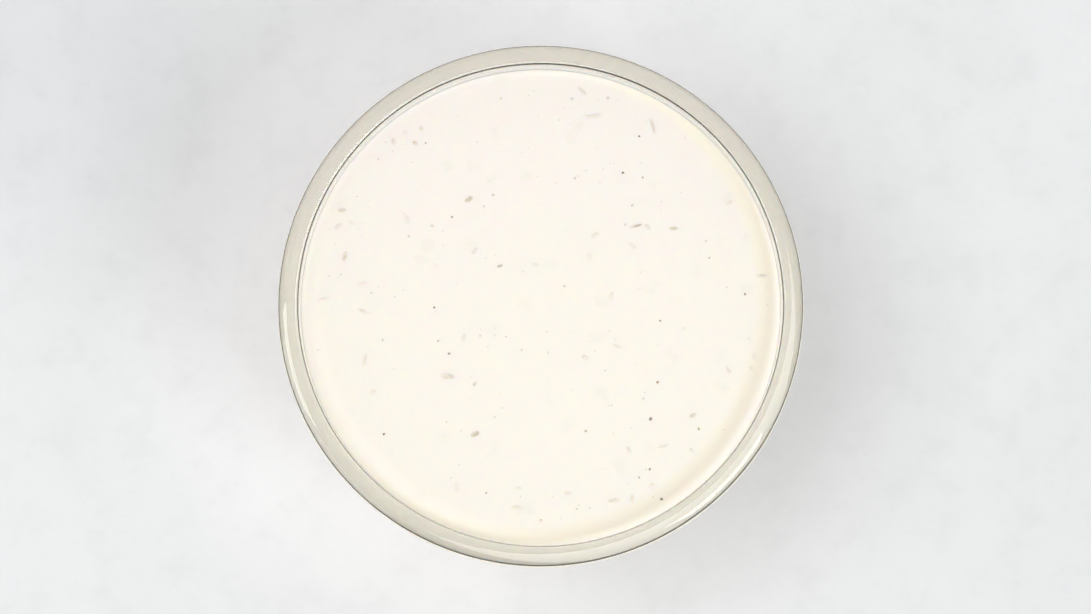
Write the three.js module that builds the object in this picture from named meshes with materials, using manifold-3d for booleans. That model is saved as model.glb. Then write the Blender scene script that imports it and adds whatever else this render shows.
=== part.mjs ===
// A small round bowl of clear pressed glass, filled almost to the brim with a creamy herb dip.
// Units are millimetres, +Z is up, and the origin is the centre of the foot on the table.
import * as THREE from 'three';
import { mergeVertices } from 'three/addons/utils/BufferGeometryUtils.js';
import Module from 'manifold-3d';

// ---- Bowl: driving dimensions ----
const RIM_RADIUS = 45;         // widest point of the rounded lip
const BOWL_HEIGHT = 45;
const LIP_WIDTH = 3.8;         // across the rounded lip
const LIP_HEIGHT = 1.6;        // from the wall's upper end to the top of the lip
const LIP_PEAK_IN = 1.0;       // the lip is highest this far from its inner edge
const LIP_FULLNESS = 2.8;      // squareness of the lip's inner quarter, where 2 is an ellipse
const SIDE_LEAN = 27;          // degrees that the side leans outwards
const BEND_DEPTH = 3;          // height over which the upright collar turns into the side
const SIDE_LOW_Z = 14;         // height where the side's straight slant begins
const FOOT_RADIUS = 20;        // outer edge of the flat ring it stands on
const FOOT_RING = 4;           // width of that ring
const FOOT_EDGE = 0.9;         // rounding between the ring and the body
const PUNT_RISE = 1.3;         // hollow under the middle of the foot
const FLOOR_Z = 5;             // inside bottom of the bowl
const FLOOR_RADIUS = 11;       // where the inside bottom begins to curve up
const FLOOR_RUN = 7;           // how strongly the floor runs on outwards into that curve
const FOOT_RUN = [5, 1.6];     // how strongly the body leaves the foot, outwards and upwards

// Each face of the wall has an upright collar under the lip: where it starts, how far it goes down
// before it bends into the side, how many degrees it leans on the way, and how strongly the side
// then runs on below SIDE_LOW_Z.
const OUTER_FACE = { start: RIM_RADIUS, collar: 7, lean: 2, run: 6 };
const INNER_FACE = { start: RIM_RADIUS - LIP_WIDTH, collar: 8, lean: 1, run: 5 };

// ---- Dip: driving dimensions ----
const DIP_DEPTH_BELOW_RIM = 3.8;
const FIT_GAP = 0.3;           // clearance between the dip and the glass
const CREEP_RISE = 0.35;       // the dip clings a little way up the wall
const CREEP_WIDTH = 1.6;
const SWELL = 0.06;            // the middle stands very slightly higher

// ---- Flecks in the dip: driving dimensions ----
const FLECK_PROUD = 0.12;      // how far a fleck stands out of the dip
const FLECK_ROOT = 0.3;        // how far it reaches down into the dip
const FLECK_REACH = 0.93;      // share of the dip's radius that scattered flecks reach
const FLECK_SPACING = 1.9;     // least distance between two flecks
const FLECK_SEED = 20;
const LEAF_STEPS = 4;          // along a leaf
const LEAF_TIP = 0.56;         // width of a leaf's ends, as a share of its middle's
const BEND_RANGE = 0.16;       // how differently the scattered leaves bend
const GRAIN_SHAPE = [1, 0.8, 0.75];
const GRAIN_SINK = 0.3;        // a grain's centre lies this share of its size below the top of a leaf
const GRAIN_TURN = 40;         // degrees from one grain placed by hand to the next

// Around each full turn, and along each curved stretch of a profile.
const TURN_STEPS = 80;
const LIP_STEPS = 4;
const BEND_STEPS = 4;
const BODY_STEPS = 9;

const DEG = Math.PI / 180;
const DIP_LEVEL = BOWL_HEIGHT - DIP_DEPTH_BELOW_RIM;
const LIP_Z = BOWL_HEIGHT - LIP_HEIGHT;

const glass = new THREE.MeshStandardMaterial({
  name: 'clear_glass', color: 0xdfe3d8, roughness: 0.04, metalness: 0, transparent: true, opacity: 0.45,
});
const cream = new THREE.MeshStandardMaterial({
  name: 'dip', color: 0xfdf7ec, roughness: 0.3, metalness: 0,
});

// ---- Profiles ----

function curvePoints(start, startPull, endPull, end, steps) {
  const curve = new THREE.CubicBezierCurve(start, startPull, endPull, end);
  return curve.getPoints(steps);
}

// Radius of one face of the wall at a height: an upright collar that bends into the slanting side.
function wallRadius(face, z) {
  const depth = LIP_Z - z;
  const collarSlope = Math.tan(face.lean * DEG);
  const below = Math.max(depth - face.collar, 0);
  const bending = Math.min(below, BEND_DEPTH);
  const past = bending ** 2 / (2 * BEND_DEPTH) + below - bending;
  return face.start - depth * collarSlope - past * (Math.tan(SIDE_LEAN * DEG) - collarSlope);
}

function wallPoint(face, z, clearance) {
  return new THREE.Vector2(wallRadius(face, z) - clearance, z);
}

// One face of the wall, from the low end of the slanting side up to a height under the lip.
function wallProfile(face, top, clearance) {
  const points = [wallPoint(face, SIDE_LOW_Z, clearance)];
  const bendEnd = LIP_Z - face.collar - BEND_DEPTH;
  for (let step = 0; step <= BEND_STEPS; step += 1) {
    points.push(wallPoint(face, bendEnd + BEND_DEPTH * step / BEND_STEPS, clearance));
  }
  points.push(wallPoint(face, top, clearance));
  return points;
}

// The outside, from the table up to the lip: ring, rounded edge, swelling body, side, collar.
function outsideProfile() {
  const edge = new THREE.Vector2(FOOT_RADIUS + FOOT_EDGE, FOOT_EDGE);
  const edgePull = new THREE.Vector2(edge.x + FOOT_RUN[0], edge.y + FOOT_RUN[1]);
  const wall = wallProfile(OUTER_FACE, LIP_Z, 0);
  const sidePull = wallPoint(OUTER_FACE, SIDE_LOW_Z - OUTER_FACE.run, 0);
  const body = curvePoints(edge, edgePull, sidePull, wall[0], BODY_STEPS);
  return [
    new THREE.Vector2(FOOT_RADIUS, 0),
    new THREE.Vector2(FOOT_RADIUS + FOOT_EDGE * 0.7, FOOT_EDGE * 0.3),
    ...body,
    ...wall.slice(1),
  ];
}

// The rounded lip, from its outside over the top to its inside: a wide gentle quarter, then a
// narrow full one.
function lipProfile() {
  const peak = INNER_FACE.start + LIP_PEAK_IN;
  const points = [];
  for (let step = 1; step < 2 * LIP_STEPS; step += 1) {
    const angle = Math.PI * step / (2 * LIP_STEPS);
    const outer = step < LIP_STEPS;
    const power = outer ? 1 : 2 / LIP_FULLNESS;
    const reach = outer ? LIP_WIDTH - LIP_PEAK_IN : -LIP_PEAK_IN;
    const across = reach * Math.abs(Math.cos(angle)) ** power;
    points.push(new THREE.Vector2(peak + across, LIP_Z + LIP_HEIGHT * Math.sin(angle) ** power));
  }
  return points;
}

// The inside of the glass from the lip down to the middle of the floor, pushed inwards by a clearance.
function insideProfile(top, clearance) {
  const wall = wallProfile(INNER_FACE, top, clearance).reverse();
  const sidePull = wallPoint(INNER_FACE, SIDE_LOW_Z - INNER_FACE.run, clearance);
  const floorEdge = new THREE.Vector2(FLOOR_RADIUS, FLOOR_Z + clearance);
  const floorPull = new THREE.Vector2(FLOOR_RADIUS + FLOOR_RUN, FLOOR_Z + clearance);
  const body = curvePoints(wall.at(-1), sidePull, floorPull, floorEdge, BODY_STEPS);
  return [
    ...wall,
    ...body.slice(1),
    new THREE.Vector2(0, FLOOR_Z + clearance),
  ];
}

// The underside, from the middle out to the flat ring: a shallow hollow.
function puntProfile() {
  const innerEdge = FOOT_RADIUS - FOOT_RING;
  return [
    new THREE.Vector2(0, PUNT_RISE),
    new THREE.Vector2(innerEdge * 0.55, PUNT_RISE * 0.92),
    new THREE.Vector2(innerEdge * 0.86, PUNT_RISE * 0.5),
    new THREE.Vector2(innerEdge, 0),
  ];
}

// The dip's face from the glass to the middle: it creeps up the wall and is all but level elsewhere.
function dipFaceProfile() {
  const wall = wallRadius(INNER_FACE, DIP_LEVEL + CREEP_RISE) - FIT_GAP;
  const points = [];
  for (const share of [0.35, 0.7, 1]) {
    const fall = (1 - share) ** 2;
    points.push(new THREE.Vector2(wall - CREEP_WIDTH * share, DIP_LEVEL + CREEP_RISE * fall));
  }
  points.push(new THREE.Vector2(wall * 0.5, DIP_LEVEL + SWELL));
  points.push(new THREE.Vector2(0, DIP_LEVEL + SWELL));
  return points;
}

// ---- Solids ----

// Turns a profile, drawn from the axis round to the axis again, about the upright axis.
function turned(profile) {
  const geometry = new THREE.LatheGeometry(profile, TURN_STEPS);
  return geometry.rotateX(Math.PI / 2);
}

const wasm = await Module();
wasm.setup();

// A solid that can be joined to others: vertices merged, and the flat triangles on the axis dropped.
function solidOf(geometry) {
  const bare = geometry.clone();
  bare.deleteAttribute('normal');
  bare.deleteAttribute('uv');
  const merged = mergeVertices(bare, 1e-5);
  const corners = merged.index.array;
  const kept = [];
  for (let at = 0; at < corners.length; at += 3) {
    const [a, b, c] = corners.slice(at, at + 3);
    if (a !== b && b !== c && a !== c) kept.push(a, b, c);
  }
  return new wasm.Manifold(new wasm.Mesh({
    numProp: 3,
    vertProperties: new Float32Array(merged.attributes.position.array),
    triVerts: new Uint32Array(kept),
  }));
}

function geometryOf(solid) {
  const mesh = solid.getMesh();
  const geometry = new THREE.BufferGeometry();
  geometry.setAttribute('position', new THREE.BufferAttribute(mesh.vertProperties, 3));
  geometry.setIndex(new THREE.BufferAttribute(mesh.triVerts, 1));
  geometry.computeVertexNormals();
  return geometry;
}

function makeBowl() {
  const profile = [
    ...puntProfile(),
    ...outsideProfile(),
    ...lipProfile(),
    ...insideProfile(LIP_Z, 0),
  ];
  return turned(profile);
}

function makeDipBody() {
  const inside = insideProfile(DIP_LEVEL + CREEP_RISE, FIT_GAP).reverse();
  return turned([...inside, ...dipFaceProfile()]);
}

// ---- Flecks ----

// A snipped herb leaf: a thin bent strip, widest in the middle, from z = 0 up.
function leafStrip(length, width, bend) {
  const near = [];
  const far = [];
  for (let step = 0; step <= LEAF_STEPS; step += 1) {
    const along = step / LEAF_STEPS;
    const x = (along - 0.5) * length;
    const middle = bend * length * (1 - (2 * along - 1) ** 2);
    const fullness = LEAF_TIP + (1 - LEAF_TIP) * Math.sin(Math.PI * along);
    const half = width / 2 * fullness;
    near.push(new THREE.Vector2(x, middle - half));
    far.unshift(new THREE.Vector2(x, middle + half));
  }
  const outline = new THREE.Shape([...near, ...far]);
  return new THREE.ExtrudeGeometry(outline, { depth: FLECK_ROOT + FLECK_PROUD, bevelEnabled: false });
}

// A crushed grain: a squat twenty-sided lump.
function grain(size) {
  const lump = new THREE.IcosahedronGeometry(size / 2, 0);
  return lump.scale(...GRAIN_SHAPE);
}

// The flecks that stand out most, each placed by hand: x, y, length, width, turn in degrees, bend.
const BOLD_LEAVES = [
  [16.4, 13.8, 2.4, 0.42, 16, 0.04],
  [22.9, 13.4, 1.6, 0.55, 0, 0],
  [9.0, 33.0, 3.1, 0.5, 8, 0.1],
  [19.4, 31.3, 2.8, 0.5, 105, 0.06],
  [7.1, 37.5, 2.1, 0.5, 138, 0],
  [-12.4, 18.5, 1.6, 0.8, 35, 0],
  [-11.2, -22.1, 1.6, 0.75, 28, 0.06],
  [-15.9, -12.2, 2.4, 0.8, 174, 0],
  [-33.7, 8.6, 1.7, 0.6, 74, 0.05],
  [-34.2, 16.6, 1.4, 0.65, 3, 0],
  [12.5, -33.4, 2.1, 0.6, 7, 0],
  [38.0, 5.2, 1.9, 0.45, 2, 0],
  [-7.0, 6.9, 1.1, 0.5, 20, 0],
  [26.0, -18.9, 1.3, 0.6, 29, 0],
  [-30.1, -9.4, 2.4, 0.45, 79, 0.03],
  [-4.1, -34.6, 1.9, 0.55, 172, 0.05],
  [20.9, -24.2, 2.0, 0.35, 16, 0.06],
  [15.6, -33.0, 1.2, 0.45, 88, 0],
  [7.6, -8.9, 1.2, 0.7, 169, 0],
  [-11.3, -13.5, 0.9, 0.5, 56, 0],
  [-21.7, 28.3, 1.2, 0.6, 163, 0],
  [-25.5, 28.6, 1.1, 0.6, 98, 0],
  [-20.7, 30.9, 0.9, 0.6, 108, 0],
];

// The darkest grains, placed by hand: x, y, size.
const BOLD_GRAINS = [
  [17.0, 29.5, 0.45],
  [14.2, 23.1, 0.62],
  [29.0, 8.3, 0.42],
  [35.1, 2.0, 0.5],
  [20.5, -2.6, 0.42],
  [20.0, -13.2, 0.6],
  [18.8, -19.5, 0.85],
  [27.0, -21.2, 0.5],
  [-18.3, -0.3, 0.48],
  [-15.7, -8.3, 0.7],
  [-26.8, -22.1, 0.5],
  [-19.9, 28.3, 0.42],
  [-9.3, -32.1, 0.48],
  [20.6, -33.2, 0.65],
  [7.7, -21.6, 0.6],
  [18.6, -28.1, 0.55],
  [16.8, -29.5, 0.4],
  [17.6, 22.3, 0.42],
  [-15.3, 15.4, 0.5],
  [-17.6, -6.1, 0.5],
];

// The rest are scattered by a rule: how many of each kind, and between which sizes.
const SCATTERED = [
  { kind: 'leaf', count: 27, least: 0.9, most: 2.0, width: 0.5 },
  { kind: 'grain', count: 25, least: 0.4, most: 0.65 },
];

// A repeatable stream of numbers from 0 to 1.
function numberStream(seed) {
  let state = seed;
  return () => {
    state = (state * 1664525 + 1013904223) % 4294967296;
    return state / 4294967296;
  };
}

// Places on the dip, evenly spread over its round face and kept apart from all those already taken.
function scatter(count, taken, draw) {
  const reach = FLECK_REACH * wallRadius(INNER_FACE, DIP_LEVEL);
  const places = [];
  while (places.length < count) {
    const away = reach * Math.sqrt(draw());
    const turn = 2 * Math.PI * draw();
    const place = new THREE.Vector2(away * Math.cos(turn), away * Math.sin(turn));
    if (taken.every((other) => other.distanceTo(place) > FLECK_SPACING)) {
      places.push(place);
      taken.push(place);
    }
  }
  return places;
}

function leafAt(x, y, length, width, turn, bend) {
  const leaf = leafStrip(length, width, bend).rotateZ(turn * DEG);
  return leaf.translate(x, y, DIP_LEVEL - FLECK_ROOT);
}

function grainAt(x, y, size, turn) {
  const lump = grain(size).rotateZ(turn * DEG);
  return lump.translate(x, y, DIP_LEVEL + FLECK_PROUD - GRAIN_SINK * size);
}

function makeFlecks() {
  const draw = numberStream(FLECK_SEED);
  const taken = [...BOLD_LEAVES, ...BOLD_GRAINS].map(([x, y]) => new THREE.Vector2(x, y));
  const flecks = [
    ...BOLD_LEAVES.map((row) => leafAt(...row)),
    ...BOLD_GRAINS.map(([x, y, size], at) => grainAt(x, y, size, GRAIN_TURN * at)),
  ];
  for (const sort of SCATTERED) {
    for (const place of scatter(sort.count, taken, draw)) {
      const size = sort.least + (sort.most - sort.least) * draw();
      const turn = 360 * draw();
      const bend = BEND_RANGE * (draw() - 0.5);
      if (sort.kind === 'leaf') flecks.push(leafAt(place.x, place.y, size, sort.width, turn, bend));
      else flecks.push(grainAt(place.x, place.y, size, turn));
    }
  }
  return flecks;
}

function makeDip() {
  const body = solidOf(makeDipBody());
  const flecks = makeFlecks().map(solidOf);
  return geometryOf(wasm.Manifold.union([body, ...flecks]));
}

// ---- Assembly ----

function named(name, geometry, material) {
  const mesh = new THREE.Mesh(geometry, material);
  mesh.name = name;
  return mesh;
}

const bowlOfDip = new THREE.Group();
bowlOfDip.add(named('bowl', makeBowl(), glass));
bowlOfDip.add(named('dip', makeDip(), cream));

export default bowlOfDip;
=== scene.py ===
# %% [markdown]
# # A herb dip in a small glass bowl
# The bowl and the dip were built first as exact solids, and this notebook gives them their looks.
# It loads those solids as a fixed frame, then models the smooth glass, the creamy filling and
# the snipped herbs in the same place and at the same size. Lengths of the object are written in
# millimetres, and those of the table and the lamps in metres.

import math

import bpy
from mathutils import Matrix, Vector
from mathutils.geometry import interpolate_bezier


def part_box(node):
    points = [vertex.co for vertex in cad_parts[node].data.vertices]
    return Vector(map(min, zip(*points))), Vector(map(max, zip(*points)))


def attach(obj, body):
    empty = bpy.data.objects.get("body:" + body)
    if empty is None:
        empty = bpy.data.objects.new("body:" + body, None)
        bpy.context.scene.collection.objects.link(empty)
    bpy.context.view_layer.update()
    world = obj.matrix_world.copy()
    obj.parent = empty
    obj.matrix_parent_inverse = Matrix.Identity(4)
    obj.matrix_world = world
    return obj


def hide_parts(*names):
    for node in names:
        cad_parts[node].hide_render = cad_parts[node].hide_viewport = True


MM = 0.001

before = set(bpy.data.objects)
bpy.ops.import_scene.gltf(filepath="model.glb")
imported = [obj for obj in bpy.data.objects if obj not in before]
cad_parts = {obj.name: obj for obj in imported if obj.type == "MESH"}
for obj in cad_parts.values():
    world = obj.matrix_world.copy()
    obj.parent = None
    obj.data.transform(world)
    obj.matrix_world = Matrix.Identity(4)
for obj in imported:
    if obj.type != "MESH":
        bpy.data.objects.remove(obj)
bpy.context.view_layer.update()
bowl_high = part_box("bowl")[1]
dip_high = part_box("dip")[1]
print("solids:", sorted(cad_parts))
print("bowl", round(bowl_high.z / MM, 1), "mm high, dip solid up to", round(dip_high.z / MM, 2), "mm")

# %% [markdown]
# ## Working habits
# An operator acts on everything that is selected, so each step starts with nothing selected.
# Four small helpers keep the cells short. They clear the selection, make one piece active, apply a
# modifier to a piece, and count its triangles.

# %% Helpers for modelling


def deselect_all():
    if bpy.context.mode != "OBJECT":
        bpy.ops.object.mode_set(mode="OBJECT")
    bpy.ops.object.select_all(action="DESELECT")


def make_active(piece):
    deselect_all()
    piece.select_set(True)
    bpy.context.view_layer.objects.active = piece


def apply_modifier(piece, kind, **settings):
    make_active(piece)
    modifier = piece.modifiers.new(kind.title(), kind)
    for name, value in settings.items():
        setattr(modifier, name, value)
    bpy.ops.object.modifier_apply(modifier=modifier.name)


def triangles(piece):
    return sum(len(face.vertices) - 2 for face in piece.data.polygons)


# %% [markdown]
# ## Camera
# The bowl is seen from above, a few degrees off the vertical, through a long lens. The camera is
# placed by an angle and a distance from a point close to the middle of the rim, so each value can
# be read as it would be on a tripod.

# %% Camera
LENS_MM = 100
SENSOR_MM = 36
CAMERA_DISTANCE = 516.7 * MM
CAMERA_ELEVATION = math.radians(83.3)
AIM_RIGHT = 0.82 * MM
AIM_DOWN = 0.66 * MM
NEAREST_SEEN = 10 * MM
FURTHEST_SEEN = 20

deselect_all()
rim_middle = Vector((0, 0, bowl_high.z))
aim = rim_middle + Vector((AIM_RIGHT, -AIM_DOWN, 0))
towards_camera = Vector((0, -math.cos(CAMERA_ELEVATION), math.sin(CAMERA_ELEVATION)))
bpy.ops.object.camera_add(location=aim + towards_camera * CAMERA_DISTANCE)
camera = bpy.context.object
camera.name = "camera"
camera.rotation_euler = (-towards_camera).to_track_quat("-Z", "Y").to_euler()
camera.data.lens = LENS_MM
camera.data.sensor_width = SENSOR_MM
camera.data.clip_start = NEAREST_SEEN
camera.data.clip_end = FURTHEST_SEEN
bpy.context.scene.camera = camera
print("camera height", round(camera.location.z, 3), "m")

# %% [markdown]
# ## Colours and node helpers
# Colours are picked as they look on a screen and turned into the linear values that shaders use.
# Each material is a Principled shader, and its patterns come from noise that reads the Object
# coordinates, so they stay put on the piece from every side.

# %% Colour and node helpers
# The sockets of a Mix node that take its share and its two colours, and the one that gives a colour.
MIX_INPUTS = (0, 6, 7)
MIX_RESULT = 2


def linear(red, green, blue):
    """A screen colour, 0 to 255, as a linear colour with alpha."""
    shares = [channel / 255 for channel in (red, green, blue)]
    return tuple(s / 12.92 if s < 0.04045 else ((s + 0.055) / 1.055) ** 2.4 for s in shares) + (1,)


def new_material(name):
    material = bpy.data.materials.new(name)
    material.use_nodes = True
    tree = material.node_tree
    shader = tree.nodes["Principled BSDF"]
    return material, tree, shader


def add_node(tree, kind, **settings):
    node = tree.nodes.new(kind)
    for name, value in settings.items():
        if name.startswith("in_"):
            node.inputs[name[3:].replace("_", " ")].default_value = value
        else:
            setattr(node, name, value)
    return node


def mix_colours(tree, share, first, second):
    """A colour mix: each of share, first and second is a socket or a plain value."""
    mix = add_node(tree, "ShaderNodeMix", data_type="RGBA")
    for at, value in zip(MIX_INPUTS, (share, first, second)):
        if isinstance(value, bpy.types.NodeSocket):
            tree.links.new(value, mix.inputs[at])
        else:
            mix.inputs[at].default_value = value
    return mix.outputs[MIX_RESULT]


def ramp_between(tree, source, low, high):
    """0 below low, 1 above high, and smooth between them."""
    remap = add_node(tree, "ShaderNodeMapRange", interpolation_type="SMOOTHSTEP")
    remap.inputs["From Min"].default_value = low
    remap.inputs["From Max"].default_value = high
    tree.links.new(source, remap.inputs["Value"])
    return remap.outputs["Result"]


def product_of(tree, first, second):
    product = add_node(tree, "ShaderNodeMath", operation="MULTIPLY")
    tree.links.new(first, product.inputs[0])
    tree.links.new(second, product.inputs[1])
    return product.outputs[0]


def place_of(tree):
    return add_node(tree, "ShaderNodeTexCoord").outputs["Object"]


# %% [markdown]
# ## Table
# The bowl stands on a pale slab of smooth concrete. It is a plane that isn't attached to the
# body, so it isn't part of the object. Round the bowl, a little more so at the left, it is paler
# with painted light, and at the far left it is darker. Three layers of noise, from as broad as a
# hand to as small as a crumb, keep it from looking like paper.

# %% Table
TABLE_SIZE = 3.0
STONE = linear(232.5, 233.5, 233)
# Each patch, in millimetres: its middle, the radii where it starts and is full, and its colour.
TABLE_PATCHES = (
    # Painted light: paler round the bowl, a little more so at the left.
    ((-14, 8, 0), 72, 42, linear(241.5, 241.5, 242)),
    # Darker at the far left.
    ((-95, 50, 0), 50, 10, linear(225.5, 226.5, 227)),
)
# Each veil of noise: its scale, the values it starts and is full at, and how dark it makes the stone.
STONE_VEILS = ((14.0, 0.35, 0.7, 0.95), (130.0, 0.45, 0.75, 0.96), (420.0, 0.5, 0.8, 0.975))

deselect_all()
bpy.ops.mesh.primitive_plane_add(size=TABLE_SIZE, location=(0, 0, 0))
table = bpy.context.object
table.name = "table"
stone, tree, shader = new_material("table_stone")
shader.inputs["Roughness"].default_value = 0.7
shader.inputs["Specular IOR Level"].default_value = 0.25
where = place_of(tree)
tint = STONE
for middle, starts, full, patch_tint in TABLE_PATCHES:
    away = add_node(tree, "ShaderNodeVectorMath", operation="DISTANCE")
    away.inputs[1].default_value = Vector(middle) * MM
    tree.links.new(where, away.inputs[0])
    patch = ramp_between(tree, away.outputs["Value"], starts * MM, full * MM)
    tint = mix_colours(tree, patch, tint, patch_tint)
for scale, starts, full, shade in STONE_VEILS:
    cloud = add_node(tree, "ShaderNodeTexNoise", in_Scale=scale, in_Detail=5.0, in_Roughness=0.6)
    tree.links.new(where, cloud.inputs["Vector"])
    veil = ramp_between(tree, cloud.outputs["Fac"], starts, full)
    darker = add_node(tree, "ShaderNodeVectorMath", operation="SCALE")
    darker.inputs["Scale"].default_value = shade
    tree.links.new(tint, darker.inputs[0])
    tint = mix_colours(tree, veil, tint, darker.outputs[0])
tree.links.new(tint, shader.inputs["Base Color"])
table.data.materials.append(stone)
print("table:", TABLE_SIZE, "m wide, its stone has", len(tree.nodes), "nodes")

# %% [markdown]
# ## Lights
# Two soft lamps light the dip and the table. The one at the lower right is low enough for the lip
# to throw a narrow shadow on the dip, and the one at the left is high, so it hardly throws any. A
# glass edge is drawn by what it reflects, so three reflectors that only shiny things can see are
# added: a large pale card at the lower right, and a low card and a small bright one at the left.
# The room is a plain gradient, brighter near the table than overhead.

# %% Lamps and reflectors


def soft_lamp(name, azimuth, elevation, distance, size, power, colour):
    """A square lamp that looks at the bowl; azimuth is counted from +X towards +Y."""
    turn, lift = math.radians(azimuth), math.radians(elevation)
    away = Vector((math.cos(lift) * math.cos(turn), math.cos(lift) * math.sin(turn), math.sin(lift)))
    bpy.ops.object.light_add(type="AREA", location=rim_middle + away * distance)
    lamp = bpy.context.object
    lamp.name = name
    lamp.rotation_euler = (-away).to_track_quat("-Z", "Y").to_euler()
    lamp.data.size = size
    lamp.data.energy = power
    lamp.data.color = colour
    lamp.visible_camera = False
    return lamp


def reflector(name, azimuth, elevation, distance, size, power):
    """A lamp that lights nothing and only shows in glossy reflections."""
    card = soft_lamp(name, azimuth, elevation, distance, size, power, (1, 1, 1))
    card.visible_diffuse = False
    card.visible_transmission = False


COOL_WHITE = (0.97, 0.985, 1)
WARM_WHITE = (1, 0.99, 0.975)

soft_lamp("lamp_right", -38, 45, distance=2.4, size=0.9, power=14.8, colour=COOL_WHITE)
high_lamp = soft_lamp("lamp_left", 185, 62, distance=2.4, size=1.65, power=21.6, colour=WARM_WHITE)
high_lamp.visible_glossy = False
reflector("pale_card", azimuth=-48, elevation=50, distance=1.6, size=2.0, power=42)
reflector("low_card", azimuth=205, elevation=20, distance=1.6, size=1.3, power=9)
reflector("bright_strip", azimuth=185, elevation=45, distance=2.0, size=0.7, power=7.4)

# %% Room
HORIZON = (1.6, 1.6, 1.63, 1)
OVERHEAD = (0.72, 0.73, 0.75, 1)
OVERHEAD_FROM = 0.75
ROOM_STRENGTH = 0.68

room = bpy.data.worlds.new("room")
bpy.context.scene.world = room
room.use_nodes = True
sky = room.node_tree.nodes["Background"]
direction = add_node(room.node_tree, "ShaderNodeTexCoord").outputs["Generated"]
parts = add_node(room.node_tree, "ShaderNodeSeparateXYZ")
room.node_tree.links.new(direction, parts.inputs["Vector"])
height = ramp_between(room.node_tree, parts.outputs["Z"], 0.0, OVERHEAD_FROM)
glow = mix_colours(room.node_tree, height, HORIZON, OVERHEAD)
room.node_tree.links.new(glow, sky.inputs["Color"])
sky.inputs["Strength"].default_value = ROOM_STRENGTH
room.cycles.sampling_method = "NONE"
bpy.context.scene.view_settings.view_transform = "Standard"
print("room: strength", ROOM_STRENGTH)

# %% [markdown]
# ## Turning a shape
# A pressed bowl and what fills it are both round, so each is drawn as half a section and turned
# about the upright axis. The half section starts as one point of a plane, is extruded point by
# point, and is then spun. Spinning keeps every ring true, which matters in glass, where a
# crooked facet shows as a crooked reflection.

# %% Turn a half section
TURN_STEPS = 240
MERGE_DISTANCE = 1e-6


def turned_piece(name, section):
    """Extrudes one point along the section, in millimetres as (radius, height), and spins it."""
    deselect_all()
    points = [Vector((radius, 0, height)) * MM for radius, height in section]
    bpy.ops.mesh.primitive_plane_add(size=MM, location=points[0])
    piece = bpy.context.object
    piece.name = name
    piece.data.name = name
    bpy.ops.object.transform_apply(location=True, rotation=True, scale=True)
    bpy.ops.object.mode_set(mode="EDIT")
    bpy.ops.mesh.merge(type="CENTER")
    for here, there in zip(points, points[1:]):
        bpy.ops.mesh.extrude_region_move(TRANSFORM_OT_translate={"value": there - here})
    bpy.ops.mesh.select_all(action="SELECT")
    bpy.ops.mesh.spin(steps=TURN_STEPS, angle=2 * math.pi, center=(0, 0, 0), axis=(0, 0, 1))
    bpy.ops.mesh.select_all(action="SELECT")
    bpy.ops.mesh.remove_doubles(threshold=MERGE_DISTANCE)
    bpy.ops.mesh.normals_make_consistent(inside=False)
    bpy.ops.object.mode_set(mode="OBJECT")
    bpy.ops.object.shade_smooth()
    return piece


def bend_points(start, start_pull, end_pull, end, steps):
    """Points along a bend that leaves start towards one pull and comes to end from the other."""
    knots = [Vector((*knot, 0)) for knot in (start, start_pull, end_pull, end)]
    return [(point.x, point.y) for point in interpolate_bezier(*knots, steps + 1)]


# %% [markdown]
# ## Glass bowl
# Under its fire-polished lip the bowl has an upright collar, which bends into a straight slanting
# side and rounds off into a flat ring that goes round a shallow hollow. Each face of the wall has
# its own collar, a little longer inside than outside. The lip is highest near its inner edge: a
# wide gentle quarter outside, a narrow full one inside. This form matters for the looks. A look
# down through the lip is thrown back by the slanting outside and ends on the creamy side of the
# dip, and only at the two edges of the lip does it get away, as thin dark lines.

# %% Bowl sizes
RIM_RADIUS = bowl_high.x / MM
BOWL_HEIGHT = bowl_high.z / MM
LIP_WIDTH = 3.8
LIP_HEIGHT = 1.6
LIP_PEAK_IN = 1.0
LIP_FULLNESS = 2.8
LIP_Z = BOWL_HEIGHT - LIP_HEIGHT
SIDE_LEAN = math.radians(27)
SIDE_LOW_Z = 14.0
BEND_DEPTH = 3.0
OUTER_FACE = {"start": RIM_RADIUS, "collar": 7.0, "lean": math.radians(2), "run": 6.0}
INNER_FACE = {"start": RIM_RADIUS - LIP_WIDTH, "collar": 8.0, "lean": math.radians(1), "run": 5.0}

FOOT_RADIUS = 20.0
FOOT_RING = 4.0
FOOT_EDGE = 0.9
FOOT_RUN = (5.0, 1.6)
FOOT_ROUNDING = (0.5, 0.3)
FOOT_EDGE_PULL = 0.6
PUNT_RISE = 1.3
PUNT_FLAT_PULL = 0.6
PUNT_EDGE_PULL = (0.85, 0.55)
FLOOR_Z = 5.0
FLOOR_RADIUS = 11.0
FLOOR_RUN = 7.0

LIP_STEPS = 20
BEND_STEPS = 16
BODY_STEPS = 24
PUNT_STEPS = 10
FOOT_STEPS = 4
print("lip", LIP_WIDTH, "mm across, wall ends at", LIP_Z)

# %% Bowl section


def wall_radius(face, height):
    """The radius of one face of the wall: an upright collar that bends into the slanting side."""
    depth = LIP_Z - height
    collar_slope = math.tan(face["lean"])
    below = max(depth - face["collar"], 0)
    bending = min(below, BEND_DEPTH)
    past = bending**2 / (2 * BEND_DEPTH) + below - bending
    return face["start"] - depth * collar_slope - past * (math.tan(SIDE_LEAN) - collar_slope)


def wall_section(face, top, clearance):
    """From the low end of the straight side up to top, inside the face by the clearance."""
    bend_end = LIP_Z - face["collar"] - BEND_DEPTH
    bend = [bend_end + BEND_DEPTH * step / BEND_STEPS for step in range(BEND_STEPS + 1)]
    return [(wall_radius(face, height) - clearance, height) for height in [SIDE_LOW_Z] + bend + [top]]


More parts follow.
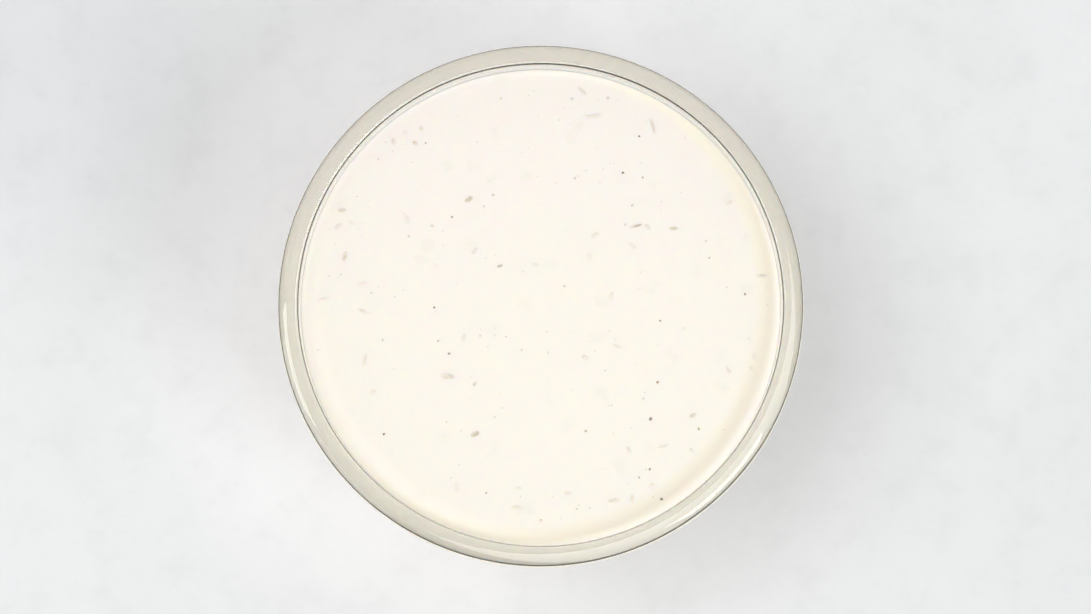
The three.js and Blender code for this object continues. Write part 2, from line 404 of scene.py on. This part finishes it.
def outside_section():
    """From the foot ring round its edge, out along the body and up the side to the lip."""
    edge = (FOOT_RADIUS + FOOT_EDGE, FOOT_EDGE)
    ring_pull = (FOOT_RADIUS + FOOT_ROUNDING[0], 0)
    edge_pull = (edge[0] - FOOT_ROUNDING[1], FOOT_EDGE * FOOT_EDGE_PULL)
    foot_round = bend_points((FOOT_RADIUS, 0), ring_pull, edge_pull, edge, FOOT_STEPS)
    wall = wall_section(OUTER_FACE, LIP_Z, 0)
    run_z = SIDE_LOW_Z - OUTER_FACE["run"]
    out_pull = (edge[0] + FOOT_RUN[0], edge[1] + FOOT_RUN[1])
    side_pull = (wall_radius(OUTER_FACE, run_z), run_z)
    body = bend_points(edge, out_pull, side_pull, wall[0], BODY_STEPS)
    return foot_round + body[1:-1] + wall[:-1]


def lip_section():
    """Two quarters of an ellipse, the inner one squarer than the outer."""
    peak = INNER_FACE["start"] + LIP_PEAK_IN
    points = []
    for step in range(2 * LIP_STEPS + 1):
        turn = math.pi * step / (2 * LIP_STEPS)
        outer = step < LIP_STEPS
        power = 1 if outer else 2 / LIP_FULLNESS
        reach = LIP_WIDTH - LIP_PEAK_IN if outer else -LIP_PEAK_IN
        across = reach * abs(math.cos(turn)) ** power
        points.append((peak + across, LIP_Z + LIP_HEIGHT * abs(math.sin(turn)) ** power))
    return points


def inside_section(top, clearance):
    """From a height under the lip down the inner face to the middle of the floor."""
    wall = wall_section(INNER_FACE, top, clearance)[::-1]
    run_z = SIDE_LOW_Z - INNER_FACE["run"]
    side_pull = (wall_radius(INNER_FACE, run_z) - clearance, run_z)
    floor_pull = (FLOOR_RADIUS + FLOOR_RUN, FLOOR_Z + clearance)
    floor_edge = (FLOOR_RADIUS, FLOOR_Z + clearance)
    body = bend_points(wall[-1], side_pull, floor_pull, floor_edge, BODY_STEPS)
    return wall + body[1:] + [(0, FLOOR_Z + clearance)]


def punt_section():
    """From the middle of the hollow under the bowl out to the foot ring."""
    inner_edge = FOOT_RADIUS - FOOT_RING
    flat_pull = (inner_edge * PUNT_FLAT_PULL, PUNT_RISE)
    edge_pull = (inner_edge * PUNT_EDGE_PULL[0], PUNT_RISE * PUNT_EDGE_PULL[1])
    return bend_points((0, PUNT_RISE), flat_pull, edge_pull, (inner_edge, 0), PUNT_STEPS)


wall_low = wall_radius(OUTER_FACE, SIDE_LOW_Z) - wall_radius(INNER_FACE, SIDE_LOW_Z)
print("wall", round(wall_low, 2), "mm across at the low end of the straight side")

# %% Bowl piece
bowl_section = punt_section() + outside_section() + lip_section() + inside_section(LIP_Z, 0)[1:]
glass_bowl = turned_piece("glass_bowl", bowl_section)
print("glass bowl:", triangles(glass_bowl), "triangles")

# %% [markdown]
# ## Clear glass
# The glass bends light as real glass does and takes a faint yellow-green tint with depth. The
# room's light reaches the dip by being bent through the wall, as it really is, so the rim throws
# its own soft shadow and bright edge.

# %% Glass material
GLASS_TINT = (0.86, 0.91, 0.76, 1)
TINT_DENSITY = 7.0

glass, tree, shader = new_material("clear_glass")
shader.inputs["Base Color"].default_value = (1, 1, 1, 1)
shader.inputs["Roughness"].default_value = 0.0
shader.inputs["IOR"].default_value = 1.5
shader.inputs["Transmission Weight"].default_value = 1.0
depth = add_node(tree, "ShaderNodeVolumeAbsorption")
depth.inputs["Color"].default_value = GLASS_TINT
depth.inputs["Density"].default_value = TINT_DENSITY
tree.links.new(depth.outputs[0], tree.nodes["Material Output"].inputs["Volume"])
glass_bowl.data.materials.append(glass)
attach(glass_bowl, "root")
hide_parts("bowl")
print("clear glass:", len(tree.nodes), "nodes")

# %% [markdown]
# ## The dip
# A yoghurt dip settles level, clings a little way up the glass and fills the bowl to the wall.
# The filling is turned like the bowl and reaches a hair's breadth into the wall, so no film of
# air shows between them. Its face swells by a few hundredths of a millimetre towards the middle,
# because a spooned sauce is never a perfect mirror.

# %% Dip section
BELOW_RIM = 3.8
DIP_LEVEL = BOWL_HEIGHT - BELOW_RIM
INTO_WALL = 0.08
CREEP_RISE = 0.35
CREEP_WIDTH = 1.6
CREEP_STEPS = 8
SWELL = 0.06
FACE_RINGS = 40


def face_height(share):
    """The height of the face at a share of the way out: level inside half of it, lower outside."""
    return DIP_LEVEL + SWELL * min(1.0, 2 * (1 - share))


def face_section():
    """From the glass to the middle: the face creeps up the wall and is all but level elsewhere."""
    wall = wall_radius(INNER_FACE, DIP_LEVEL + CREEP_RISE) + INTO_WALL
    points = []
    for step in range(1, CREEP_STEPS + 1):
        share = step / CREEP_STEPS
        points.append((wall - CREEP_WIDTH * share, DIP_LEVEL + CREEP_RISE * (1 - share) ** 2))
    start = points[-1][0]
    for ring in range(1, FACE_RINGS + 1):
        radius = start * (1 - ring / FACE_RINGS)
        points.append((radius, face_height(radius / start)))
    return points


filling_section = inside_section(DIP_LEVEL + CREEP_RISE, -INTO_WALL)[::-1] + face_section()
dip_filling = turned_piece("dip_filling", filling_section)
print("dip:", triangles(dip_filling), "triangles")

# %% [markdown]
# ## Cream
# The dip is a thick white sauce with a drop of yellow. It isn't stirred quite even: it is a touch
# rosier at the back, with a wavy border that noise draws. Herbs that lie under the face show as
# faint grey-green smudges. They are the cells of a Voronoi pattern, of which fewer than half are
# let through. All this is kept in one node group, because the flecks further down are partly
# coated with the same cream.

# %% Cream colour as a node group
CREAM = linear(253.5, 243.5, 231.5)
ROSY_CREAM = linear(254, 242.5, 233.5)
ROSY_FROM_Y = (-4, 26)
ROSY_WAVE = 60

cream_group = bpy.data.node_groups.new("cream_colour", "ShaderNodeTree")
cream_group.interface.new_socket("Smudges", in_out="INPUT", socket_type="NodeSocketFloat")
cream_group.interface.new_socket("Colour", in_out="OUTPUT", socket_type="NodeSocketColor")
smudges = add_node(cream_group, "NodeGroupInput").outputs["Smudges"]
where = place_of(cream_group)
parts = add_node(cream_group, "ShaderNodeSeparateXYZ")
cream_group.links.new(where, parts.inputs["Vector"])
patch = add_node(cream_group, "ShaderNodeTexNoise", in_Scale=45.0, in_Detail=4.0)
cream_group.links.new(where, patch.inputs["Vector"])
wavy = add_node(cream_group, "ShaderNodeMath", operation="MULTIPLY_ADD")
wavy.inputs[1].default_value = ROSY_WAVE * MM
cream_group.links.new(patch.outputs["Fac"], wavy.inputs[0])
cream_group.links.new(parts.outputs["Y"], wavy.inputs[2])
rosy_from, rosy_full = [(y + ROSY_WAVE / 2) * MM for y in ROSY_FROM_Y]
rosy = ramp_between(cream_group, wavy.outputs[0], rosy_from, rosy_full)
tint = mix_colours(cream_group, rosy, CREAM, ROSY_CREAM)
print("rosier from", ROSY_FROM_Y[0], "to", ROSY_FROM_Y[1], "mm towards the back")

# %% Smudges in the cream
SMUDGED_CREAM = linear(248, 240, 228)
SMUDGE_WARP = 5 * MM
SMUDGE_EDGE = (0.45, 0.1)
SMUDGE_CHANCE = (0.55, 0.95)

wobble = add_node(cream_group, "ShaderNodeTexNoise", in_Scale=300.0, in_Detail=3.0)
cream_group.links.new(where, wobble.inputs["Vector"])
shift = add_node(cream_group, "ShaderNodeVectorMath", operation="SCALE")
shift.inputs["Scale"].default_value = SMUDGE_WARP
cream_group.links.new(wobble.outputs["Color"], shift.inputs[0])
moved = add_node(cream_group, "ShaderNodeVectorMath", operation="ADD")
cream_group.links.new(where, moved.inputs[0])
cream_group.links.new(shift.outputs[0], moved.inputs[1])
cells = add_node(cream_group, "ShaderNodeTexVoronoi", in_Scale=230.0)
cream_group.links.new(moved.outputs[0], cells.inputs["Vector"])
blot = ramp_between(cream_group, cells.outputs["Distance"], *SMUDGE_EDGE)
chance = add_node(cream_group, "ShaderNodeSeparateColor")
cream_group.links.new(cells.outputs["Color"], chance.inputs["Color"])
chosen = ramp_between(cream_group, chance.outputs["Red"], *SMUDGE_CHANCE)
sunken = product_of(cream_group, product_of(cream_group, blot, chosen), smudges)
tint = mix_colours(cream_group, sunken, tint, SMUDGED_CREAM)
cream_group.links.new(tint, add_node(cream_group, "NodeGroupOutput").inputs["Colour"])
print("cream colour:", len(cream_group.nodes), "nodes")

# %% [markdown]
# ## Dip material
# Where the dip clings to the glass it thins out to a film, and there a fine greyer line of painted
# shade is drawn round the face. Light spreads through the sauce further than a short-range
# subsurface can carry it, and comes out again at the side. So the side is given a painted glow of
# its own, most a few millimetres under the face and less further down. The same painted light
# fills the shade that the lip throws on the edge of the face, a little wider at the left and
# narrower at the right. At the right, a warm crescent of painted shade lies just inside the
# wall, where the lip shades the face.

# %% Helpers for the cream


def finish_cream(shader, softness):
    """The gloss of the cream, and the soft depth that light sinks to, in millimetres."""
    shader.inputs["Roughness"].default_value = 0.32
    shader.inputs["Specular IOR Level"].default_value = 0.28
    shader.inputs["Subsurface Weight"].default_value = 0.5
    shader.inputs["Subsurface Radius"].default_value = (1.0, 0.65, 0.3)
    shader.inputs["Subsurface Scale"].default_value = softness * MM


def cream_colour(tree, smudge_strength):
    """The colour of the cream, from the node group above."""
    node = add_node(tree, "ShaderNodeGroup", node_tree=cream_group)
    node.inputs["Smudges"].default_value = smudge_strength
    return node.outputs["Colour"]


def distance_from(tree, middle):
    """How far a point of the face lies from a middle, given in millimetres as x and y."""
    away = add_node(tree, "ShaderNodeVectorMath", operation="DISTANCE")
    away.inputs[1].default_value = Vector((*middle, DIP_LEVEL)) * MM
    tree.links.new(place_of(tree), away.inputs[0])
    return away.outputs["Value"]


def ramp_between_mm(tree, source, low, high):
    """The same ramp between two lengths given in millimetres."""
    return ramp_between(tree, source, low * MM, high * MM)


# %% Colour of the dip
RIGHT_ARC_MIDDLE = (-2.4, 1.4)
# Painted shade: a warm crescent at the right, inside the shadow of the lip.
WARM_SHADE_CREAM = linear(254, 242, 224)
WARM_SHADE_FROM = (38.6, 41.0)
WARM_SHADE_TO = (43.3, 42.0)
# Painted shade: a fine greyer line where the cream climbs the glass.
CONTACT_SHADE = linear(208, 203, 188)
CONTACT_SHADE_START = (0.26, 0.31)
FACE_START = (-0.4, -0.1)

cream, tree, shader = new_material("cream")
parts = add_node(tree, "ShaderNodeSeparateXYZ")
tree.links.new(place_of(tree), parts.inputs["Vector"])
height = parts.outputs["Z"]
contact_shade = ramp_between_mm(tree, height, *[DIP_LEVEL + rise for rise in CONTACT_SHADE_START])
on_face = ramp_between_mm(tree, height, *[DIP_LEVEL + rise for rise in FACE_START])
across = distance_from(tree, RIGHT_ARC_MIDDLE)
rising = ramp_between_mm(tree, across, *WARM_SHADE_FROM)
falling = ramp_between_mm(tree, across, *WARM_SHADE_TO)
warm_shade = product_of(tree, on_face, product_of(tree, rising, falling))
tint = mix_colours(tree, warm_shade, cream_colour(tree, 1.0), WARM_SHADE_CREAM)
tint = mix_colours(tree, contact_shade, tint, CONTACT_SHADE)
tree.links.new(tint, shader.inputs["Base Color"])
print("film from", round(DIP_LEVEL + CONTACT_SHADE_START[0], 2), "mm up the wall")

# %% Glow and finish of the dip
BLACK = (0, 0, 0, 1)
# The side glow and the two edge glows are painted light, given out as emission from the cream.
GLOW_DEPTH = 36.0
GLOW_START = (1.0, 6.0)
SIDE_GLOW = (0.305, 0.297, 0.262, 1)
LEFT_EDGE = {"middle": (2.6, 1.6), "reach": (39.8, 42.6), "glow": (0.07, 0.06, 0.055, 1)}
RIGHT_EDGE = {"middle": RIGHT_ARC_MIDDLE, "reach": (41.4, 43.2), "glow": (0.1, 0.085, 0.085, 1)}
DIP_SOFTNESS = 1.8

near_face = ramp_between_mm(tree, height, DIP_LEVEL - GLOW_DEPTH, DIP_LEVEL)
under_face = ramp_between_mm(tree, height, *[DIP_LEVEL - drop for drop in GLOW_START])
glow = mix_colours(tree, product_of(tree, near_face, under_face), BLACK, SIDE_GLOW)
for edge in (LEFT_EDGE, RIGHT_EDGE):
    near_wall = ramp_between_mm(tree, distance_from(tree, edge["middle"]), *edge["reach"])
    gleam = mix_colours(tree, product_of(tree, near_wall, on_face), BLACK, edge["glow"])
    total = add_node(tree, "ShaderNodeVectorMath", operation="ADD")
    tree.links.new(glow, total.inputs[0])
    tree.links.new(gleam, total.inputs[1])
    glow = total.outputs[0]
tree.links.new(glow, shader.inputs["Emission Color"])
shader.inputs["Emission Strength"].default_value = 1.0
finish_cream(shader, DIP_SOFTNESS)
dip_filling.data.materials.append(cream)
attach(dip_filling, "root")
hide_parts("dip")
print("cream:", len(tree.nodes), "nodes")

# %% [markdown]
# ## Where the flecks lie
# Snipped dill, ground pepper and a few red and green crumbs lie in the face of the dip. They could
# be spots in its colour, but real ones stand a little proud of it. The solids already hold them as
# small raised lumps, so the same two lists and the same seeded rule are used here, and every fleck
# lands where its lump is. The two lists are the flecks that catch the eye. The others are
# scattered: a place is drawn inside the round face and kept if it isn't too close to one that is
# taken, which spreads them as evenly as stirring does.

# %% Flecks that catch the eye
# Each leaf: x, y, length, width, turn in degrees, bend, and how clearly it shows.
BOLD_LEAVES = [
    (16.4, 13.8, 2.4, 0.42, 16, 0.04, 0.65),
    (22.9, 13.4, 1.6, 0.55, 0, 0, 0.45),
    (9.0, 33.0, 3.1, 0.5, 8, 0.1, 0.22),
    (19.4, 31.3, 2.8, 0.5, 105, 0.06, 0.33),
    (7.1, 37.5, 2.1, 0.5, 138, 0, 0.27),
    (-12.4, 18.5, 1.6, 0.8, 35, 0, 0.55),
    (-11.2, -22.1, 1.6, 0.75, 28, 0.06, 0.65),
    (-15.9, -12.2, 2.4, 0.8, 174, 0, 0.4),
    (-33.7, 8.6, 1.7, 0.6, 74, 0.05, 0.5),
    (-34.2, 16.6, 1.4, 0.65, 3, 0, 0.38),
    (12.5, -33.4, 2.1, 0.6, 7, 0, 0.3),
    (38.0, 5.2, 1.9, 0.45, 2, 0, 0.35),
    (-7.0, 6.9, 1.1, 0.5, 20, 0, 0.8),
    (26.0, -18.9, 1.3, 0.6, 29, 0, 0.43),
    (-30.1, -9.4, 2.4, 0.45, 79, 0.03, 0.2),
    (-4.1, -34.6, 1.9, 0.55, 172, 0.05, 0.22),
    (20.9, -24.2, 2.0, 0.35, 16, 0.06, 0.2),
    (15.6, -33.0, 1.2, 0.45, 88, 0, 0.2),
    (7.6, -8.9, 1.2, 0.7, 169, 0, 0.3),
    (-11.3, -13.5, 0.9, 0.5, 56, 0, 0.5),
    (-21.7, 28.3, 1.2, 0.6, 163, 0, 0.4),
    (-25.5, 28.6, 1.1, 0.6, 98, 0, 0.3),
    (-20.7, 30.9, 0.9, 0.6, 108, 0, 0.4),
]

# Each grain: x, y, size, and how clearly it shows.
BOLD_GRAINS = [
    (17.0, 29.5, 0.45, 1.0),
    (14.2, 23.1, 0.62, 0.9),
    (29.0, 8.3, 0.42, 0.6),
    (35.1, 2.0, 0.5, 0.8),
    (20.5, -2.6, 0.42, 1.0),
    (20.0, -13.2, 0.6, 1.0),
    (18.8, -19.5, 0.85, 0.85),
    (27.0, -21.2, 0.5, 1.0),
    (-18.3, -0.3, 0.48, 0.9),
    (-15.7, -8.3, 0.7, 1.0),
    (-26.8, -22.1, 0.5, 0.95),
    (-19.9, 28.3, 0.42, 0.6),
    (-9.3, -32.1, 0.48, 0.9),
    (20.6, -33.2, 0.65, 0.95),
    (7.7, -21.6, 0.6, 0.7),
    (18.6, -28.1, 0.55, 0.8),
    (16.8, -29.5, 0.4, 0.55),
    (17.6, 22.3, 0.42, 0.7),
    (-15.3, 15.4, 0.5, 0.95),
    (-17.6, -6.1, 0.5, 1.0),
]
print("placed by hand:", len(BOLD_LEAVES), "leaves,", len(BOLD_GRAINS), "grains")

# %% Scattered flecks
FLECK_REACH = 0.93
FLECK_SPACING = 1.9
FLECK_SEED = 20
BEND_RANGE = 0.16
GRAIN_TURN = 40
SCATTERED_LEAVES = 27
SCATTERED_GRAINS = 25
LEAF_LENGTH = (0.9, 2.0)
LEAF_WIDTH = 0.5
LEAF_SHOW = (0.08, 0.3)
GRAIN_SIZE = (0.4, 0.65)
GRAIN_SHOW = (0.2, 0.5)
STREAM_FACTOR, STREAM_STEP, STREAM_RANGE = 1664525, 1013904223, 2**32


def number_stream(seed):
    """A repeatable stream of numbers from 0 to 1."""
    state = seed
    while True:
        state = (state * STREAM_FACTOR + STREAM_STEP) % STREAM_RANGE
        yield state / STREAM_RANGE


def number_within(limits, draw):
    least, most = limits
    return least + (most - least) * draw


def scatter(count, taken, draws):
    """Draws places on the face, each further than the spacing from all that are taken."""
    reach = FLECK_REACH * wall_radius(INNER_FACE, DIP_LEVEL)
    places = []
    while len(places) < count:
        away = reach * math.sqrt(next(draws))
        turn = 2 * math.pi * next(draws)
        place = Vector((away * math.cos(turn), away * math.sin(turn)))
        if all((other - place).length > FLECK_SPACING for other in taken):
            places.append(place)
            taken.append(place)
    return places


leaves = list(BOLD_LEAVES)
grains = [(x, y, size, GRAIN_TURN * at, show) for at, (x, y, size, show) in enumerate(BOLD_GRAINS)]
draws = number_stream(FLECK_SEED)
clearness = number_stream(FLECK_SEED + 1)
taken = [Vector(row[:2]) for row in BOLD_LEAVES + BOLD_GRAINS]
for place in scatter(SCATTERED_LEAVES, taken, draws):
    length = number_within(LEAF_LENGTH, next(draws))
    turn = 360 * next(draws)
    bend = BEND_RANGE * (next(draws) - 0.5)
    show = number_within(LEAF_SHOW, next(clearness))
    leaves.append((place.x, place.y, length, LEAF_WIDTH, turn, bend, show))
for place in scatter(SCATTERED_GRAINS, taken, draws):
    size = number_within(GRAIN_SIZE, next(draws))
    turn = 360 * next(draws)
    next(draws)  # the bend of a leaf, which the rule draws for a grain too
    show = number_within(GRAIN_SHOW, next(clearness))
    grains.append((place.x, place.y, size, turn, show))
print("flecks:", len(leaves), "leaves,", len(grains), "grains")

# %% [markdown]
# ## Modelling a leaf and a grain
# A snipped leaf of dill is a short flat blade, widest in the middle, and a crushed grain is a lump
# with blunt corners. Each is modelled in three versions: a blade from a cube that is cut up,
# pinched at its ends and rounded by subdivision, and a grain from an icosphere. Their corners are
# pushed about with fixed seeds. Every fleck is then a copy with a mesh of its own, scaled, bent if
# it is a leaf with a bend, and put in its place. The copies of one kind are joined.

# %% Three blades and three grains
BLADE_CUTS = 3
BLADE_ENDS_FROM = 0.36
BLADE_PINCH = (1, 0.4, 0.8)
BLADE_RAGGED = 0.09
BLADE_SEEDS = (2, 6, 11)
GRAIN_RAGGED = 0.07
GRAIN_SEEDS = (3, 5, 8)


def keep_as_pattern(piece, name):
    """Takes a finished shape out of the scene and keeps its mesh for copying."""
    mesh = piece.data
    mesh.name = name
    mesh.use_fake_user = True
    bpy.data.objects.remove(piece)
    return mesh


blade_meshes = []
for seed in BLADE_SEEDS:
    deselect_all()
    bpy.ops.mesh.primitive_cube_add(size=1)
    blade = bpy.context.object
    bpy.ops.object.mode_set(mode="EDIT")
    bpy.ops.mesh.subdivide(number_cuts=BLADE_CUTS)
    bpy.ops.transform.vertex_random(offset=BLADE_RAGGED, seed=seed)
    bpy.ops.mesh.select_all(action="DESELECT")
    bpy.ops.object.mode_set(mode="OBJECT")
    for vertex in blade.data.vertices:
        vertex.select = abs(vertex.co.x) > BLADE_ENDS_FROM
    bpy.ops.object.mode_set(mode="EDIT")
    bpy.ops.transform.resize(value=BLADE_PINCH)
    bpy.ops.object.mode_set(mode="OBJECT")
    apply_modifier(blade, "SUBSURF", levels=1, render_levels=1)
    blade_meshes.append(keep_as_pattern(blade, "blade"))

grain_meshes = []
for seed in GRAIN_SEEDS:
    deselect_all()
    bpy.ops.mesh.primitive_ico_sphere_add(subdivisions=2, radius=0.5)
    lump = bpy.context.object
    bpy.ops.object.mode_set(mode="EDIT")
    bpy.ops.mesh.select_all(action="SELECT")
    bpy.ops.transform.vertex_random(offset=GRAIN_RAGGED, seed=seed)
    bpy.ops.object.mode_set(mode="OBJECT")
    grain_meshes.append(keep_as_pattern(lump, "grain"))
print("blade:", len(blade_meshes[0].polygons), "faces; grain:", len(grain_meshes[0].polygons), "faces")

# %% Copying, placing and joining
BEND_ANGLE = 8


def placed_copy(mesh, size, centre, turn, bend=0.0):
    """A copy of a pattern with its own mesh: size and centre in millimetres, turn in degrees."""
    piece = bpy.data.objects.new("fleck", mesh.copy())
    bpy.context.collection.objects.link(piece)
    piece.scale = Vector(size) * MM
    make_active(piece)
    bpy.ops.object.transform_apply(location=False, rotation=False, scale=True)
    if bend:
        angle = BEND_ANGLE * bend
        apply_modifier(piece, "SIMPLE_DEFORM", deform_method="BEND", deform_axis="Z", angle=angle)
    piece.rotation_euler = (0, 0, math.radians(turn))
    piece.location = Vector(centre) * MM
    bpy.ops.object.transform_apply(location=True, rotation=True, scale=False)
    return piece


def joined(name, pieces):
    deselect_all()
    for piece in pieces:
        piece.select_set(True)
    bpy.context.view_layer.objects.active = pieces[0]
    bpy.ops.object.join()
    piece = bpy.context.object
    piece.name = name
    piece.data.name = name
    bpy.ops.object.shade_smooth()
    print(name + ":", triangles(piece), "triangles")
    return piece


# %% Leaf and grain pieces
FLECK_PROUD = 0.12
BLADE_THICKNESS = 0.42
GRAIN_SHAPE = (1.0, 0.8, 0.75)
GRAIN_SINK = 0.3
SHOW_AT_FACE = 0.5


def write_show(piece, values):
    attribute = piece.data.attributes.new("show", "FLOAT", "POINT")
    attribute.data.foreach_set("value", values)


def set_show(piece, strength):
    """Writes how much of a fleck shows through the cream: most at its crest, none at its foot."""
    face = face_height(0) * MM
    shares = [(v.co.z - face) / (FLECK_PROUD * MM) + SHOW_AT_FACE for v in piece.data.vertices]
    write_show(piece, [strength * min(max(share, 0), 1) for share in shares])


def leaf_piece(at, x, y, length, width, turn, bend, show):
    centre = (x, y, DIP_LEVEL + FLECK_PROUD - BLADE_THICKNESS / 2)
    mesh = blade_meshes[at % len(blade_meshes)]
    piece = placed_copy(mesh, (length, width, BLADE_THICKNESS), centre, turn, bend)
    set_show(piece, show)
    return piece


def grain_piece(at, x, y, size, turn, show):
    centre = (x, y, DIP_LEVEL + FLECK_PROUD - GRAIN_SINK * size)
    shape = [size * share for share in GRAIN_SHAPE]
    piece = placed_copy(grain_meshes[at % len(grain_meshes)], shape, centre, turn)
    set_show(piece, show)
    return piece


# %% [markdown]
# ## Colours of the flecks
# A fleck that lies in a sauce is never seen sharply: cream climbs its sides and often covers it.
# So its material mixes the cream with the fleck's own colour by the attribute written above, which
# says for each point how much shows. One noise leaves films of cream on the fleck, so that it
# shows in patches, and a finer one breaks up its own colour. All kinds of fleck are coated in the
# same way, so this is a node group too, and each kind gives it two colours of its own. Light sinks
# less deep into a fleck than into the dip, because a fleck is thinner.

# %% Coated fleck as a node group
# Each noise: its scale, and the values between which it goes from nothing to full.
FILM_NOISE = (1300.0, 0.3, 0.52)
MOTTLE_NOISE = (2600.0, 0.35, 0.65)
SEEN_THROUGH_FILM = 0.4


def noise_mask(tree, scale, low, high):
    noise = add_node(tree, "ShaderNodeTexNoise", in_Scale=scale, in_Detail=2.0)
    tree.links.new(place_of(tree), noise.inputs["Vector"])
    return ramp_between(tree, noise.outputs["Fac"], low, high)


fleck_group = bpy.data.node_groups.new("coated_fleck", "ShaderNodeTree")
fleck_group.interface.new_socket("Show", in_out="INPUT", socket_type="NodeSocketFloat")
for name in ("Cream", "Dark", "Light"):
    fleck_group.interface.new_socket(name, in_out="INPUT", socket_type="NodeSocketColor")
fleck_group.interface.new_socket("Colour", in_out="OUTPUT", socket_type="NodeSocketColor")
given = add_node(fleck_group, "NodeGroupInput").outputs
bare = noise_mask(fleck_group, *FILM_NOISE)
bare.node.inputs["To Min"].default_value = SEEN_THROUGH_FILM
mottle = noise_mask(fleck_group, *MOTTLE_NOISE)
own = mix_colours(fleck_group, mottle, given["Dark"], given["Light"])
seen = product_of(fleck_group, given["Show"], bare)
coated = mix_colours(fleck_group, seen, given["Cream"], own)
fleck_group.links.new(coated, add_node(fleck_group, "NodeGroupOutput").inputs["Colour"])
print("coated fleck:", len(fleck_group.nodes), "nodes")

# %% Fleck material
FLECK_SOFTNESS = 0.2


def fleck_material(name, dark, light):
    material, tree, shader = new_material(name)
    coat = add_node(tree, "ShaderNodeGroup", node_tree=fleck_group)
    coat.inputs["Dark"].default_value = linear(*dark)
    coat.inputs["Light"].default_value = linear(*light)
    show = add_node(tree, "ShaderNodeAttribute", attribute_name="show").outputs["Fac"]
    tree.links.new(show, coat.inputs["Show"])
    tree.links.new(cream_colour(tree, 0.0), coat.inputs["Cream"])
    tree.links.new(coat.outputs["Colour"], shader.inputs["Base Color"])
    finish_cream(shader, FLECK_SOFTNESS)
    return material


def finish_flecks(name, pieces, dark, light):
    flecks = joined(name, pieces)
    flecks.data.materials.append(fleck_material(name, dark, light))
    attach(flecks, "root")
    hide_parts("dip")


# %% [markdown]
# ## The four kinds
# The leaves are grey-green dill and the grains are grey-brown pepper, but for a few. Of the leaves
# in the list, one is a red crumb and one a yellow-green one. Of the grains in the list, one is red
# and two are yellow-green. Of every five scattered grains one is red and one is yellow-green.

# %% Sort and make the flecks
ODD_LEAVES = {17: "green", 18: "red"}
ODD_GRAINS = {5: "red", 7: "green", 14: "green"}
ODD_IN_FIVE = {1: "red", 3: "green"}


def grain_kind(at):
    if at < len(BOLD_GRAINS):
        return ODD_GRAINS.get(at, "pepper")
    return ODD_IN_FIVE.get(at % 5, "pepper")


sorted_pieces = {"dill": [], "pepper": [], "red": [], "green": []}
for at, row in enumerate(leaves):
    sorted_pieces[ODD_LEAVES.get(at, "dill")].append(leaf_piece(at, *row))
for at, row in enumerate(grains):
    sorted_pieces[grain_kind(at)].append(grain_piece(at, *row))

finish_flecks("dill_shreds", sorted_pieces["dill"], dark=(152, 142, 104), light=(184, 172, 134))
finish_flecks("pepper_grains", sorted_pieces["pepper"], dark=(84, 70, 50), light=(132, 116, 90))
finish_flecks("red_specks", sorted_pieces["red"], dark=(150, 92, 70), light=(190, 136, 110))
finish_flecks("green_bits", sorted_pieces["green"], dark=(140, 136, 62), light=(176, 170, 100))

# %% [markdown]
# ## Dust
# Between the flecks lies a dust of ground pepper and herb, too fine to be in the solids. Each
# speck is a plain icosphere, a little flattened, that only just breaks the face. Most are small,
# because their size is drawn as a square. They follow a rule of their own, with its own seed.

# %% Fine dust
DUST_COUNT = 110
DUST_REACH = 0.96
DUST_SIZE = (0.2, 0.5)
DUST_FLATNESS = 0.8
DUST_PROUD = 0.06
DUST_SHOW = (0.15, 0.6)
DUST_SEED = 7

deselect_all()
bpy.ops.mesh.primitive_ico_sphere_add(subdivisions=1, radius=0.5)
dust_mesh = keep_as_pattern(bpy.context.object, "speck")
dust_draws = number_stream(DUST_SEED)
dust_reach = DUST_REACH * wall_radius(INNER_FACE, DIP_LEVEL)
specks = []
for _ in range(DUST_COUNT):
    away = dust_reach * math.sqrt(next(dust_draws))
    turn = 2 * math.pi * next(dust_draws)
    size = number_within(DUST_SIZE, next(dust_draws) ** 2)
    height = size * DUST_FLATNESS
    crest = face_height(away / dust_reach) + DUST_PROUD
    centre = (away * math.cos(turn), away * math.sin(turn), crest - height / 2)
    speck = placed_copy(dust_mesh, (size, size, height), centre, 360 * next(dust_draws))
    write_show(speck, [number_within(DUST_SHOW, next(dust_draws))] * len(speck.data.vertices))
    specks.append(speck)
finish_flecks("fine_dust", specks, dark=(120, 108, 92), light=(176, 150, 128))
